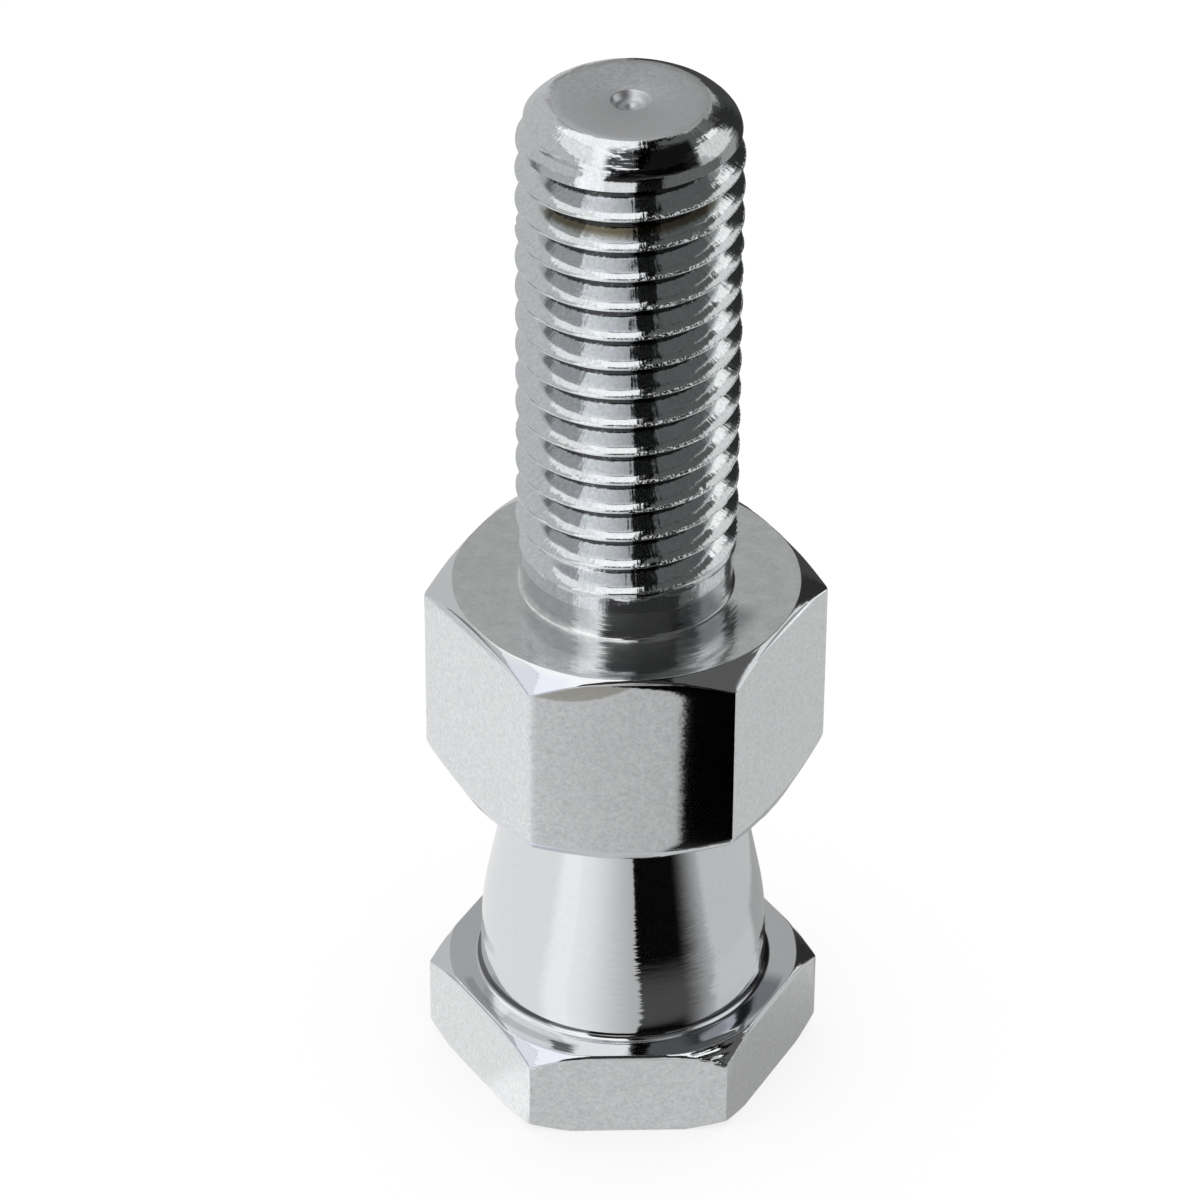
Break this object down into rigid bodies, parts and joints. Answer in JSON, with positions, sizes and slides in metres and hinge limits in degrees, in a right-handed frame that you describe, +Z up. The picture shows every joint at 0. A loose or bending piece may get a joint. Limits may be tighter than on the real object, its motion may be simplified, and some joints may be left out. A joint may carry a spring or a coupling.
{
  "type": "threaded stud",
  "caption": "Turned hexagon adapter stud with a male screw thread at one end and a tapered clamp neck between two hexagons.",
  "frame": {"origin": "centre of the lower hexagon's flat underside, which the stud stands on", "axes": "+Z up along the stud's axis to the end of the thread, -Y out of one flat of both hexagons, +X through a corner"},
  "size_m": [0.0184, 0.016, 0.051],
  "materials": {
    "chrome_plate": "bright chrome plate, satin on the hexagon's flats, with fine turning lines on the turned faces"
  },
  "bodies": {
    "root": {"stud": "chrome_plate"}
  },
  "joints": []
}
